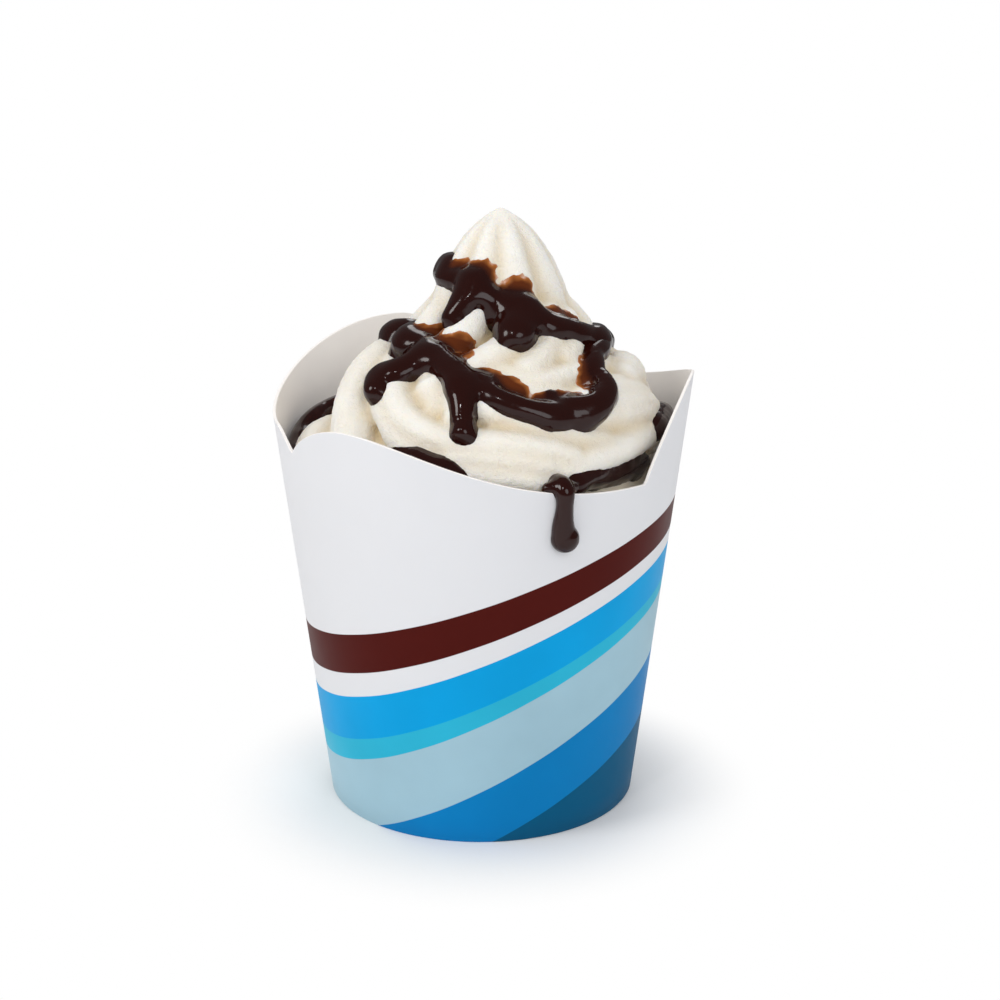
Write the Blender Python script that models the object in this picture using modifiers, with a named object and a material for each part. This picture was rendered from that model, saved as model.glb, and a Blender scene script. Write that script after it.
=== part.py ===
"""Soft-serve ice cream sundae with chocolate sauce in a paper cup.

The cup stands on the XY plane with its axis on +Z, and its front faces -Y. Angles are in degrees round the
axis: 0 is the front and positive angles go towards +X. Lengths are in metres unless a name says otherwise.
"""

import math

import bmesh
import bpy
import numpy as np
from mathutils import Vector
from mathutils.bvhtree import BVHTree

MM = 0.001

# Cup
BASE_RADIUS = 31.0 * MM
WALL_FLARE = 0.123  # growth of the radius for each metre of height
PAPER = 0.6 * MM
CLEARANCE = 0.3 * MM
NOMINAL_RIM = 80.0 * MM
FOOT_FOLD = 5.0 * MM  # height of the wall's folded foot, which holds the base's skirt
BASE_LEVEL = 5.6 * MM  # underside of the base disc
CUP_SEGMENTS = 120
BASE_SEGMENTS = 72
# Each flap: the angles of its start, crest and end, its heights at the three, how early it falls, and how
# far it drops at its very end
FLAPS = (
    (-61.0, -38.0, 50.0, 72.5 * MM, 78.6 * MM, 67.8 * MM, 1.6, 0.0),
    (50.0, 78.0, 174.0, 67.8 * MM, 86.0 * MM, 80.0 * MM, 1.6, 6.0 * MM),
    (174.0, 205.0, 299.0, 74.0 * MM, 93.0 * MM, 76.5 * MM, 1.15, 4.0 * MM),
)

# Ice cream
FILL_LEVEL = 66.0 * MM  # where the cream meets the wall
LEAN = 4.0 * MM  # how far the swirl's axis has drifted to +X at the top
CREAM_VOXEL = 0.9 * MM
CREAM_TRIANGLE_SHARE = 0.046

# The swirl's outline: the radius that its crests reach, in mm, at heights in mm from the top down
OUTLINE = ((117.4, 0.0), (115, 3.2), (112, 6.2), (107, 9.6), (101, 12.6), (97.6, 13.8), (93, 18.0),
           (88, 22.5), (86, 26.0), (84, 29.0), (80, 32.0), (75, 34.5), (70, 36.5), (66, 38.0))
FLUTE_ANGLES = (-64, -24, 16, 60, 100, 140, 180, 218, 257)
# The slanting folds of the middle turn: angle and height at the top, angle and height at the foot, half
# thickness
MIDDLE_FOLDS = (
    (-106, 102, -96, 90, 4.4),
    (-72, 101.5, -60, 90, 4.2),
    (-18, 103.5, -34, 90, 3.6),
    (26, 97.5, -12, 87, 4.0),
    (44, 96.5, 14, 86.6, 3.8),
    (62, 95.5, 38, 88.4, 3.6),
    (92, 97, 62, 88, 3.8),
    (124, 98, 92, 88, 3.8),
    (156, 99, 124, 88, 3.8),
    (190, 100, 156, 88, 3.8),
    (222, 101, 192, 88.5, 4.2),
)
# The folds of the wide lowest turn: half thickness and how far the crest stands proud of the outline, in mm,
# then the crest's angle and height
LOWER_FOLDS = {
    "left_outer": (5.8, 0.8, ((-124, 87), (-104, 87.4), (-86, 86), (-72, 83.6), (-61, 79.6), (-53, 75.6),
                              (-47, 70))),
    "left_inner": (3.0, 0.2, ((-84, 89), (-62, 86.6), (-46, 82.2), (-36, 79), (-28, 76), (-16, 73),
                              (-2, 71.4), (12, 70.4), (26, 68.6))),
    "curl": (3.6, 0.9, ((-12, 80.6), (-14, 83.6), (-20, 86.8), (-32, 88.6), (-43, 87.0), (-43, 84.2),
                        (-36, 81.2), (-27, 78.6), (-17, 76.8), (-5, 76.0), (9, 75.6), (20, 74.6),
                        (27, 73.6))),
    "curl_floor": (5.0, -0.9, ((-31, 85.6), (-26, 83.6), (-20, 81.2))),
    "front_upper": (3.6, 0.2, ((-9, 83.0), (-3, 81.8), (6, 80.9), (15, 79.4), (25, 77.5), (36, 76.1),
                               (45, 74.2))),
    "front_behind": (4.4, -0.8, ((-6, 86), (8, 83.6), (24, 82), (38, 81.6))),
    "front_crest": (3.0, 0.4, ((-12, 88.4), (1, 87.2), (8, 86.0), (16, 85.4), (26, 85.8), (39, 86.5),
                               (54, 87), (70, 87.6))),
    "front_low": (3.0, 0.7, ((-10, 74.2), (6, 73.6), (19, 72.2), (28, 70.6))),
    "right_low": (3.4, 0.8, ((24, 71.2), (36, 72.8), (50, 74.0), (66, 74.8), (84, 74.6))),
    "right_lobe": (7.0, 1.3, ((36, 80.4), (47, 80.2), (59, 79.6), (72, 78.4), (84, 76.4))),
    "right_behind": (5.4, 0.9, ((68, 84.2), (80, 84), (98, 83.4), (124, 82))),
    "back_lobe": (6.0, 0.4, ((96, 80), (126, 80), (158, 79.6), (194, 79), (228, 79.6), (252, 82))),
    "back_upper": (4.8, 0.2, ((112, 87.6), (146, 86.8), (184, 86.2), (220, 86.4), (246, 88))),
    "back_low": (4.8, 0.4, ((84, 72.6), (118, 72.4), (154, 72), (190, 72), (226, 71.6), (262, 70.4),
                            (288, 69.6))),
}

# Sauce on the cream, by the solid that each run stands for: strokes of angle, height, half width and
# thickness, in degrees and mm
SAUCE = {
    "sauce_upper": (
        ((-168, 104, 1.6, 0.9), (-154, 104.2, 2.6, 1.6), (-136, 104.6, 3.1, 2.0), (-108, 105.2, 3.3, 2.2),
         (-86, 105.0, 3.3, 2.2), (-62, 103.6, 2.0, 1.5), (-44, 103.4, 2.6, 1.8), (-31, 103.6, 2.6, 1.8),
         (-20, 102.6, 2.2, 1.6), (-9, 99.8, 2.6, 1.9), (2, 97.6, 3.4, 2.2), (16, 98.0, 3.8, 2.4),
         (29, 95.8, 2.8, 1.9), (42, 94.8, 2.7, 1.9), (58, 93.2, 2.8, 2.0), (76, 92.2, 3.2, 2.3),
         (96, 91.6, 2.7, 1.8), (106, 91.2, 1.6, 1.0)),
        ((-27, 102.6, 3.4, 2.2), (-32, 99.8, 3.8, 2.6), (-37, 96.8, 3.0, 2.7)),
        ((5, 97.2, 4.6, 2.6), (8, 94.8, 4.2, 2.9)),
    ),
    "sauce_lower": (
        ((82, 92.0, 2.2, 1.6), (68, 91.4, 2.2, 1.7), (56, 90.4, 2.3, 1.8), (49, 88.8, 2.3, 1.9),
         (45, 86.8, 2.4, 1.9), (42, 84.8, 2.6, 2.0), (37, 82.8, 2.9, 2.2), (29, 81.2, 3.3, 2.4),
         (20, 81.1, 3.1, 2.2), (10, 82.6, 2.4, 1.9), (-1, 84.6, 2.6, 1.9), (-12, 86.6, 3.1, 2.0),
         (-22, 89.0, 3.0, 1.9), (-38, 90.6, 3.1, 2.0), (-56, 91.6, 3.3, 2.2), (-84, 92.6, 3.6, 2.4),
         (-112, 92.4, 3.0, 2.2), (-130, 92.6, 2.5, 1.7), (-143, 92.4, 1.6, 0.9)),
        ((-36, 89.6, 3.2, 1.8), (-47, 87.6, 3.6, 2.0), (-52, 86.2, 3.0, 2.4), (-46, 84.2, 2.7, 2.6)),
        ((-13, 86.2, 3.2, 2.0), (-10, 82.6, 2.5, 2.1), (-8, 78.8, 2.6, 2.5)),
        ((20, 83.2, 1.3, 0.9), (20, 84.8, 1.0, 0.8)),
    ),
    "sauce_pool_left": (
        ((-136, 76.6, 3.2, 2.6), (-123, 76.2, 3.8, 3.2), (-110, 74.2, 3.6, 3.2), (-98, 71.4, 3.0, 2.8),
         (-88, 69.0, 2.4, 2.2)),
    ),
    "sauce_pool_front": (
        ((-29, 73.4, 2.2, 1.6), (-21, 73.4, 2.8, 2.1), (-13, 72.2, 2.9, 2.4), (-7, 70.6, 2.5, 2.2)),
    ),
    "sauce_pool_right": (
        ((27, 69.2, 2.2, 2.0), (35, 69.6, 2.7, 2.3), (46, 69.8, 2.9, 2.3), (58, 69.4, 2.9, 2.2),
         (70, 69.2, 2.5, 2.0)),
    ),
    "sauce_pool_back": (
        ((70, 75.6, 2.6, 2.0), (82, 76.4, 3.2, 2.4), (98, 76.0, 3.2, 2.4), (116, 74.6, 2.8, 2.2)),
    ),
}
SAUCE_VOXEL = 0.8 * MM
SAUCE_TRIANGLE_SHARE = 0.075

# The drip that has run over the front of the rim
DRIP_ANGLE = 21.5
DRIP_FOOT = 59.2 * MM
DRIP_NECK = 1.7 * MM
DRIP_BULB = 2.7 * MM


def smooth_step(x):
    x = np.clip(x, 0.0, 1.0)
    return x * x * (3.0 - 2.0 * x)


def wall_radius(height):
    """Outer radius of the cup's wall at a height."""
    return BASE_RADIUS + WALL_FLARE * height


def around(angle, radius, height, centre_x=0.0):
    """The point at an angle, a radius and a height round the axis, or round an axis moved along +X."""
    turn = math.radians(angle)
    return Vector((centre_x + radius * math.sin(turn), -radius * math.cos(turn), height))


def lean(height):
    """How far the swirl's own axis lies from the cup's axis at a height."""
    return LEAN * float(smooth_step((height - FILL_LEVEL) / (30.0 * MM)))


def rim_height(angle):
    """Height of the rim at an angle: each flap rises steeply to a rounded crest, then falls in a long curve."""
    for start, crest, end, start_height, crest_height, end_height, early, drop in FLAPS:
        along = (angle - start) % 360.0
        if along < crest - start:
            share = along / (crest - start)
            return start_height + (crest_height - start_height) * math.sin(share * math.pi / 2.0) ** 0.8
        if along <= end - start:
            share = (along - (crest - start)) / (end - crest)
            fall = float(smooth_step(1.0 - (1.0 - share) ** early))
            last = float(smooth_step((share - 0.88) / 0.24)) * 2.0
            return crest_height + (end_height - crest_height) * fall - drop * last
    return FLAPS[0][3]


def smooth_path(points, per_span=6):
    """Catmull-Rom curve through the points, as a list of rows with the same columns."""
    rows = np.array(points, float)
    rows = np.vstack([2 * rows[0] - rows[1], rows, 2 * rows[-1] - rows[-2]])
    made = []
    for i in range(1, len(rows) - 2):
        for step in range(per_span):
            t = step / per_span
            a, b, c, d = rows[i - 1:i + 3]
            made.append(0.5 * (2 * b + (c - a) * t + (2 * a - 5 * b + 4 * c - d) * t**2
                               + (3 * b - a - 3 * c + d) * t**3))
    made.append(rows[-2])
    return made


def collection(name):
    made = bpy.data.collections.new(name)
    bpy.context.scene.collection.children.link(made)
    return made


def material(name, colour, roughness, coat=0.0):
    made = bpy.data.materials.new(name)
    made.use_nodes = True
    shader = made.node_tree.nodes["Principled BSDF"]
    shader.inputs["Base Color"].default_value = (*colour, 1.0)
    shader.inputs["Roughness"].default_value = roughness
    shader.inputs["Metallic"].default_value = 0.0
    shader.inputs["Coat Weight"].default_value = coat
    return made


def object_of(name, mesh, home, finish=None):
    made = bpy.data.objects.new(name, mesh)
    home.objects.link(made)
    if finish:
        mesh.materials.clear()
        mesh.materials.append(finish)
    return made


def settled(obj, name, home, finish=None):
    """A new mesh object with the modifiers of obj applied. obj is removed."""
    bpy.context.view_layer.update()
    graph = bpy.context.evaluated_depsgraph_get()
    mesh = bpy.data.meshes.new_from_object(obj.evaluated_get(graph))
    mesh.name = name
    mesh.transform(obj.matrix_world)
    bpy.data.objects.remove(obj)
    return object_of(name, mesh, home, finish)


def turned(name, profile, home, finish=None, segments=CUP_SEGMENTS, closed=False):
    """A profile of (radius, height), outer side from top to bottom, turned round the Z axis."""
    mesh = bpy.data.meshes.new(name)
    edges = [(i, i + 1) for i in range(len(profile) - 1)]
    if closed:
        edges.append((len(profile) - 1, 0))
    mesh.from_pydata([(r, 0.0, z) for r, z in profile], edges, [])
    obj = object_of(name, mesh, home, finish)
    screw = obj.modifiers.new("Turn", "SCREW")
    screw.steps = screw.render_steps = segments
    screw.use_merge_vertices = True
    screw.merge_threshold = 0.00001
    screw.use_smooth_shade = True
    return obj


def tube(points, home):
    """A closed round strand through points, each with its own radius."""
    data = bpy.data.curves.new("strand", "CURVE")
    data.dimensions = "3D"
    data.bevel_depth = 1.0
    data.bevel_resolution = 4
    data.use_fill_caps = True
    line = data.splines.new("POLY")
    line.points.add(len(points) - 1)
    for spot, (place, radius) in zip(line.points, points):
        spot.co = (*place, 1.0)
        spot.radius = radius
    obj = bpy.data.objects.new("strand", data)
    home.objects.link(obj)
    return settled(obj, "strand", home)


def bead(place, radius, home):
    """A sphere that rounds the end of a strand."""
    mesh = bpy.data.meshes.new("bead")
    work = bmesh.new()
    bmesh.ops.create_uvsphere(work, u_segments=16, v_segments=10, radius=radius)
    bmesh.ops.translate(work, verts=work.verts, vec=place)
    work.to_mesh(mesh)
    work.free()
    return object_of("bead", mesh, home)


def rounded(points, home):
    """A strand through (place, radius) points with a bead on each end."""
    return [tube(points, home), bead(*points[0], home), bead(*points[-1], home)]


def joined(objects, name, home):
    """One mesh object that holds all the objects' meshes, which still overlap."""
    work = bmesh.new()
    for obj in objects:
        work.from_mesh(obj.data)
        bpy.data.objects.remove(obj)
    mesh = bpy.data.meshes.new(name)
    work.to_mesh(mesh)
    work.free()
    return object_of(name, mesh, home)


def fused(obj, voxel, smoothing, share):
    """Adds the modifiers that melt overlapping shapes into one skin."""
    remesh = obj.modifiers.new("Fuse", "REMESH")
    remesh.mode = "VOXEL"
    remesh.voxel_size = voxel
    soften = obj.modifiers.new("Soften", "SMOOTH")
    soften.factor = 0.5
    soften.iterations = smoothing
    thin = obj.modifiers.new("Thin", "DECIMATE")
    thin.ratio = share
    return obj


def cut(obj, operation, tool):
    step = obj.modifiers.new(operation.title(), "BOOLEAN")
    step.operation = operation
    step.object = tool
    step.solver = "EXACT"


def build_cup_wall(home, scraps, finish):
    """The side wall: one sheet of board, folded in at the foot, with a rim cut into three flaps."""
    fold = 2.0 * (PAPER + CLEARANCE)
    profile = (
        (wall_radius(NOMINAL_RIM), NOMINAL_RIM),
        (BASE_RADIUS, 0.0),
        (BASE_RADIUS - PAPER - fold, 0.0),
        (wall_radius(FOOT_FOLD) - PAPER - fold, FOOT_FOLD),
        (wall_radius(FOOT_FOLD) - fold, FOOT_FOLD),
        (wall_radius(PAPER) - fold, PAPER),
        (wall_radius(PAPER) - PAPER, PAPER),
        (wall_radius(NOMINAL_RIM) - PAPER, NOMINAL_RIM),
    )
    wall = settled(turned("cup_wall", profile, scraps, closed=True), "cup_wall", home, finish)
    for vertex in wall.data.vertices:
        if vertex.co.z > NOMINAL_RIM - PAPER:
            x, y, _ = vertex.co
            angle = math.degrees(math.atan2(x, -y))
            inset = wall_radius(NOMINAL_RIM) - math.hypot(x, y)
            height = rim_height(angle)
            vertex.co = around(angle, wall_radius(height) - inset, height)
    return wall


def build_cup_base(home, finish):
    """The base disc with its skirt turned down inside the wall's folded foot."""
    skirt_top = wall_radius(BASE_LEVEL) - PAPER - CLEARANCE
    skirt_foot = wall_radius(PAPER) - PAPER - CLEARANCE
    profile = ((0.0, BASE_LEVEL + PAPER), (skirt_top, BASE_LEVEL + PAPER), (skirt_foot, PAPER + CLEARANCE),
               (skirt_foot - PAPER, PAPER + CLEARANCE), (skirt_top - PAPER, BASE_LEVEL), (0.0, BASE_LEVEL))
    return turned("cup_base", profile, home, finish, segments=BASE_SEGMENTS)


def crest_radius(height_mm):
    """The radius in mm that the swirl's crests reach at a height in mm."""
    heights, radii = zip(*reversed(OUTLINE))
    return float(np.interp(height_mm, heights, radii))


def strand(crest_points, scraps):
    """A piped strand under (angle, height, crest radius, half thickness) points, in degrees and mm."""
    made = []
    for angle, height_mm, crest_mm, half in smooth_path(crest_points):
        height = height_mm * MM
        made.append((around(angle, (crest_mm - half) * MM, height, lean(height)), half * MM))
    return rounded(made, scraps)


def flute_points(angle, gap):
    """One flute of the top cone, from the peak down to its foot."""
    points = []
    for height, crest in ((116.6, 0.9), (114.4, 3.3), (111.3, 6.7), (107, 9.8), (102, 12.4), (97, 14.2)):
        points.append((angle, height, crest, min(0.42 * crest * math.radians(gap), 4.2) + 0.3))
    return points


def middle_points(top_angle, top_height, foot_angle, foot_height, half):
    """One slanting fold of the middle turn, which leans over more and more towards its foot."""
    points = []
    for share in (0.0, 0.3, 0.65, 1.0):
        height = top_height + (foot_height - top_height) * share
        angle = top_angle + (foot_angle - top_angle) * share**1.3
        points.append((angle, height, crest_radius(height) + 0.7, half * (0.8 + 0.3 * share)))
    return points


def lower_points(half, proud, route):
    """One fold of the lowest turn, a little thinner towards its ends."""
    points = []
    for i, (angle, height) in enumerate(route):
        share = i / (len(route) - 1)
        size = half * (0.72 + 0.28 * math.sin(share * math.pi) ** 0.5)
        points.append((angle, height, crest_radius(height) + proud, size))
    return points


def build_core(scraps):
    """The middle of the swirl, which lies a little under the folds and leans with them."""
    profile = [(0.0, 116.0 * MM)]
    for height, radius in OUTLINE[1:]:
        sunk = 2.2 + 2.2 * float(smooth_step((112.0 - height) / 14.0))
        profile.append((max(radius - sunk, 0.6) * MM, height * MM))
    profile += [(38.4 * MM, 62.0 * MM), (38.4 * MM, 40.0 * MM), (0.0, 40.0 * MM)]
    core = settled(turned("core", profile, scraps, segments=64), "core", scraps)
    for vertex in core.data.vertices:
        vertex.co.x += lean(vertex.co.z)
    return core


def build_cream(home, scraps, finish):
    """The soft serve: a core with the piped folds melted on to it, trimmed to the inside of the cup."""
    pieces = [build_core(scraps)]
    for i, angle in enumerate(FLUTE_ANGLES):
        before = FLUTE_ANGLES[i - 1]
        after = FLUTE_ANGLES[(i + 1) % len(FLUTE_ANGLES)]
        pieces += strand(flute_points(angle, ((after - before) % 360) / 2.0), scraps)
    for fold in MIDDLE_FOLDS:
        pieces += strand(middle_points(*fold), scraps)
    for half, proud, route in LOWER_FOLDS.values():
        pieces += strand(lower_points(half, proud, route), scraps)
    swirl = fused(joined(pieces, "swirl", scraps), CREAM_VOXEL, 3, CREAM_TRIANGLE_SHARE)
    swirl = settled(swirl, "swirl", scraps)

    floor = BASE_LEVEL + PAPER + CLEARANCE
    inset = PAPER + CLEARANCE
    room = turned("room", ((0.0, 0.13), (wall_radius(0.13) - inset, 0.13),
                           (wall_radius(0.0) - inset, 0.0), (0.0, 0.0)),
                  scraps)
    filling_top = FILL_LEVEL - 4.0 * MM
    filling = turned("ice_cream", ((0.0, filling_top), (wall_radius(filling_top) - inset, filling_top),
                                   (wall_radius(floor) - inset, floor), (0.0, floor)), scraps)
    cut(swirl, "INTERSECT", room)
    cut(filling, "UNION", swirl)
    cream = settled(filling, "ice_cream", home, finish)
    for tool in (swirl, room):
        bpy.data.objects.remove(tool)
    return cream


def surface_finder(obj):
    """A function that gives the point and normal of a mesh object's skin at an angle and a height."""
    tree = BVHTree.FromObject(obj, bpy.context.evaluated_depsgraph_get())

    def find(angle, height):
        centre = Vector((lean(height), 0.0, height))
        outside = around(angle, 60.0 * MM, height, lean(height))
        place, normal, _, _ = tree.ray_cast(outside, (centre - outside).normalized())
        return place, normal

    return find


def sauce_strands(stroke, find, scraps):
    """The strands of one run of sauce, sunk into the cream until they show the right width and thickness."""
    spots = []
    for angle, height_mm, half, thick in smooth_path(stroke, 5):
        place, normal = find(angle, height_mm * MM)
        radius = (half * half + thick * thick) / (2.0 * thick)
        spots.append((*(place - normal * (radius - thick) * MM), radius * MM))
    spots = np.array(spots)
    for _ in range(2):
        spots[1:-1] = 0.25 * spots[:-2] + 0.5 * spots[1:-1] + 0.25 * spots[2:]
    return rounded([(Vector(row[:3]), row[3]) for row in spots], scraps)


def grown(obj, name, amount, scraps):
    """A copy of a mesh object, larger by an amount along its normals, to cut with."""
    copy = object_of(name, obj.data.copy(), scraps)
    swell = copy.modifiers.new("Grow", "DISPLACE")
    swell.strength = amount
    swell.mid_level = 0.0
    return settled(copy, name, scraps)


def keep_largest(obj):
    """Deletes every island of a mesh but the one with the most vertices."""
    work = bmesh.new()
    work.from_mesh(obj.data)
    islands = []
    unseen = set(work.verts)
    while unseen:
        island, edge = set(), {next(iter(unseen))}
        while edge:
            island |= edge
            edge = {e.other_vert(v) for v in edge for e in v.link_edges} - island
        unseen -= island
        islands.append(island)
    islands.sort(key=len)
    small = [v for island in islands[:-1] for v in island]
    bmesh.ops.delete(work, geom=small, context="VERTS")
    work.to_mesh(obj.data)
    work.free()


def build_sauce(name, strokes, find, cutters, room, home, scraps, finish):
    """One run of sauce with its drips, lying on the cream and clear of everything in cutters."""
    pieces = [part for stroke in strokes for part in sauce_strands(stroke, find, scraps)]
    run = fused(joined(pieces, name, scraps), SAUCE_VOXEL, 3, SAUCE_TRIANGLE_SHARE)
    for tool in cutters:
        cut(run, "DIFFERENCE", tool)
    cut(run, "INTERSECT", room)
    made = settled(run, name, home, finish)
    keep_largest(made)
    return made


def build_drip(cutters, home, scraps, finish):
    """The drip that starts on the cream, bends over the rim and hangs down the outside of the wall."""
    rim = rim_height(DRIP_ANGLE)
    outside = wall_radius(rim) + 0.4 * MM
    spots = [
        (*around(DRIP_ANGLE, outside - 3.4 * MM, rim + 1.4 * MM), 1.9 * MM),
        (*around(DRIP_ANGLE, outside - 1.2 * MM, rim + 1.5 * MM), 1.8 * MM),
        (*around(DRIP_ANGLE, outside + 0.1 * MM, rim + 0.2 * MM), 1.9 * MM),
        (*around(DRIP_ANGLE, outside + 0.1 * MM, rim - 2.5 * MM), DRIP_NECK),
        (*around(DRIP_ANGLE, wall_radius(rim - 6.0 * MM) + 0.5 * MM, rim - 6.0 * MM), DRIP_NECK + 0.5 * MM),
        (*around(DRIP_ANGLE + 0.8, wall_radius(DRIP_FOOT) + 0.6 * MM, DRIP_FOOT + 1.2 * MM), DRIP_BULB),
    ]
    made = [(Vector(row[:3]), row[3]) for row in smooth_path(spots, 5)]
    parts = rounded(made, scraps)
    for side in (-3.4, 3.0):
        parts += [bead(around(DRIP_ANGLE + side, outside - 1.6 * MM, rim + 0.9 * MM), 1.3 * MM, scraps)]
    run = fused(joined(parts, "sauce_drip", scraps), 0.6 * MM, 2, SAUCE_TRIANGLE_SHARE)
    for tool in cutters:
        cut(run, "DIFFERENCE", tool)
    drip = settled(run, "sauce_drip", home, finish)
    keep_largest(drip)
    return drip


def main():
    for obj in list(bpy.data.objects):
        bpy.data.objects.remove(obj)
    home = collection("sundae")
    scraps = collection("cutters")
    scraps.hide_render = True

    board = material("board", (0.86, 0.87, 0.89), 0.45)
    vanilla = material("vanilla", (0.86, 0.80, 0.66), 0.55)
    chocolate = material("chocolate", (0.035, 0.011, 0.006), 0.15, coat=0.5)

    wall = build_cup_wall(home, scraps, board)
    build_cup_base(home, board)
    cream = build_cream(home, scraps, vanilla)

    find = surface_finder(cream)
    cutters = [grown(cream, "cream_cutter", CLEARANCE, scraps)]
    inset = PAPER + CLEARANCE
    room = turned("sauce_room", ((0.0, 0.13), (wall_radius(0.13) - inset, 0.13),
                                 (wall_radius(0.03) - inset, 0.03),
                                 (0.0, 0.03)), scraps)
    for name, strokes in SAUCE.items():
        run = build_sauce(name, strokes, find, cutters, room, home, scraps, chocolate)
        cutters.append(grown(run, name + "_cutter", CLEARANCE, scraps))
    cutters.append(grown(wall, "wall_cutter", CLEARANCE, scraps))
    build_drip(cutters, home, scraps, chocolate)
    for tool in (*cutters, room):
        tool.hide_render = True
        tool.display_type = "WIRE"


main()
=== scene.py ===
import math

import bmesh
import bpy
import numpy as np
from bpy.props import FloatProperty, FloatVectorProperty, IntProperty, PointerProperty
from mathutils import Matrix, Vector, noise
from mathutils.bvhtree import BVHTree


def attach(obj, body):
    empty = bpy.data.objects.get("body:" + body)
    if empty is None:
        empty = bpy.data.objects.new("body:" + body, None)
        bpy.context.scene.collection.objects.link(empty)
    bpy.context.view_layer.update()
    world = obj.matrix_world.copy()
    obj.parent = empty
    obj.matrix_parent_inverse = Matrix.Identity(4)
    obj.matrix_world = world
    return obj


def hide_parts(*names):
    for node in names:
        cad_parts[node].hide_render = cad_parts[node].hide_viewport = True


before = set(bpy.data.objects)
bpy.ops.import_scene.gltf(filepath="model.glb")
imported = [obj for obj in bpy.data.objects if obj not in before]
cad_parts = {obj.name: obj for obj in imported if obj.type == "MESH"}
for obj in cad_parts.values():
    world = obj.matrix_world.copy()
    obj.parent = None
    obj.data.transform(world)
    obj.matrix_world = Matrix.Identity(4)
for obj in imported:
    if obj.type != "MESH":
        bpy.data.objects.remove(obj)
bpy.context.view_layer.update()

bl_info = {
    "name": "Soft-Serve Sundae",
    "version": (1, 0, 0),
    "blender": (4, 5, 0),
    "location": "View3D > Sidebar > Sundae",
    "description": "A paper cup of soft-serve ice cream with chocolate sauce",
    "category": "Add Mesh",
}

MM = 0.001
SENSOR_WIDTH = 36.0  # of the camera, in mm
CLEARANCE = 0.3 * MM  # between the wall's fold and the base's skirt
NOMINAL_RIM = 80.0 * MM  # height of the plain rim before the flaps are drawn out of it
BROAD_PASSES = 90  # smoothing passes that leave only the swirl's broad shape
LUMP_SIZE = 2.6 * MM  # of the cream's slow unevenness
LUMP_HEIGHT = 0.10  # in mm
PORE_SIZE = 0.9 * MM  # of its fine unevenness
PORE_HEIGHT = 0.11  # in mm
SAUCE_LUMPS = 4.0 * MM  # size of the slow and of the quick unevenness along the sauce's edges
SAUCE_RIPPLES = 1.1 * MM
SAUCE_SUNK = 0.6 * MM  # how deep the sauce's edges reach into the cream

# Each flap of the rim: the angles of its start, crest and end, its heights at the three, how early it
# falls, and how far it drops at its very end. Angles are in degrees round the cup, 0 at the front and
# growing towards +X.
FLAPS = (
    (-61.0, -38.0, 50.0, 72.5 * MM, 78.6 * MM, 67.8 * MM, 1.6, 0.0),
    (50.0, 78.0, 174.0, 67.8 * MM, 86.0 * MM, 80.0 * MM, 1.6, 6.0 * MM),
    (174.0, 205.0, 299.0, 74.0 * MM, 93.0 * MM, 76.5 * MM, 1.15, 4.0 * MM),
)

# Plain slanting bands printed round the cup, from the top down: what lies under each edge, the edge's mean
# height and its swing in mm
PRINT_EDGES = (
    ("brown", 50.0, 13.0),
    ("board", 43.0, 14.0),
    ("azure", 39.0, 15.0),
    ("turquoise", 31.0, 16.0),
    ("pale", 27.5, 17.0),
    ("mid", 14.0, 18.0),
    ("teal", 2.0, 17.0),
)
PRINT_PEAK = 100.0  # the angle at which the bands stand highest
PRINT_STEP = 20  # degrees between the points of an edge
PRINT_FOOT = -20.0  # height in mm at which the printed edges' scale starts
PRINT_SPAN = 100.0  # height in mm that the scale covers
PRINT_BLUR = 0.0005  # half width of the change of colour at an edge, as a share of the scale

# The swirl's outline: the radius that its crests reach, in mm, at heights in mm from the top down
OUTLINE = ((117.4, 0.0), (115, 3.2), (112, 6.2), (107, 9.6), (101, 12.6), (97.6, 13.8), (93, 18.0),
           (88, 22.5), (86, 26.0), (84, 29.0), (80, 32.0), (75, 34.5), (70, 36.5), (66, 38.0))
FLUTE_ANGLES = (-64, -24, 16, 60, 100, 140, 180, 218, 257)
# The slanting folds of the middle turn: angle and height at the top, angle and height at the foot, half
# thickness
MIDDLE_FOLDS = (
    (-106, 102, -96, 90, 4.4),
    (-72, 101.5, -60, 90, 4.2),
    (-18, 103.5, -34, 90, 3.6),
    (26, 97.5, -12, 87, 4.0),
    (44, 96.5, 14, 86.6, 3.8),
    (62, 95.5, 38, 88.4, 3.6),
    (92, 97, 62, 88, 3.8),
    (124, 98, 92, 88, 3.8),
    (156, 99, 124, 88, 3.8),
    (190, 100, 156, 88, 3.8),
    (222, 101, 192, 88.5, 4.2),
)
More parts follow.
